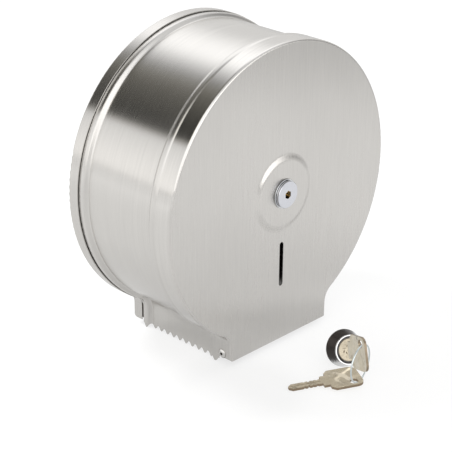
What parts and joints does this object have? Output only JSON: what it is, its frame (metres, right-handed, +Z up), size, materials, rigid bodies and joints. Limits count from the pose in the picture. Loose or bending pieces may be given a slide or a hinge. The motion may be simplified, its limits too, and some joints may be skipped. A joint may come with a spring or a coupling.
{
  "type": "jumbo toilet roll dispenser",
  "caption": "Round brushed-steel wall dispenser for jumbo toilet rolls, with a toothed tear-off mouth, a spindle, a quarter-turn lock and a loose keyed lock beside it.",
  "frame": {"origin": "on the drum's axis, in the plane of the wall, at the middle of the four wall holes", "axes": "+X to the right as seen from in front, +Y into the wall, +Z up; the face looks along -Y"},
  "size_m": [0.2624, 0.2225, 0.2735],
  "materials": {
    "sheet_steel": "stainless sheet with a fine brushed grain, vertical on the face and running round the band",
    "bright_steel": "smooth bright rivet steel",
    "zinc_plate": "dull zinc-plated steel",
    "chrome_plate": "polished chrome plate",
    "brass": "plain turned brass",
    "nickel_brass": "stamped nickel-plated brass, dulled and lightly scratched",
    "plastic": "moulded white plastic with a fine satin surface"
  },
  "bodies": {
    "wall_unit": {"backplate": "sheet_steel", "spindle": "zinc_plate", "spindle_rivets": "zinc_plate", "thrust_washer": "plastic", "lock_plate": "zinc_plate"},
    "sleeve": {"roll_sleeve": "plastic"},
    "cover": {"front_pan": "sheet_steel", "drum_band": "sheet_steel", "pan_rivets": "bright_steel", "lock_bush": "chrome_plate", "lock_washer": "zinc_plate", "lock_nut": "zinc_plate"},
    "lock": {"lock_knob": "chrome_plate", "lock_core": "brass", "cam_bar": "zinc_plate", "cam_screw": "zinc_plate"},
    "spare_lock": {"loose_lock": "chrome_plate"},
    "spare_plug": {"loose_plug": "nickel_brass", "plug_cam": "zinc_plate", "plug_clip": "zinc_plate"},
    "spare_keys": {"lock_key": "nickel_brass", "key_ring": "chrome_plate", "second_key": "nickel_brass"}
  },
  "joints": [
    {"name": "sleeve_spin", "type": "hinge", "parent": "wall_unit", "child": "sleeve", "pos_m": [0, -0.055, 0], "axis": [0, 1, 0], "continuous": true},
    {"name": "cover_slide", "type": "slide", "parent": "wall_unit", "child": "cover", "axis": [0, -1, 0], "range_m": [0, 0.15]},
    {"name": "lock_turn", "type": "hinge", "parent": "cover", "child": "lock", "pos_m": [0, -0.122, 0], "axis": [0, 1, 0], "range_deg": [0, 90]},
    {"name": "loose_lift", "type": "slide", "parent": "cover", "child": "spare_lock", "axis": [0, 0, 1], "range_m": [0, 0.12]},
    {"name": "loose_turn", "type": "hinge", "parent": "spare_lock", "child": "spare_plug", "pos_m": [0.0125, -0.1805, -0.12712], "axis": [0.3846, 0.8638, -0.3256], "range_deg": [0, 90]},
    {"name": "key_slide", "type": "slide", "parent": "spare_plug", "child": "spare_keys", "axis": [-0.3846, -0.8638, 0.3256], "range_m": [0, 0.03]}
  ]
}
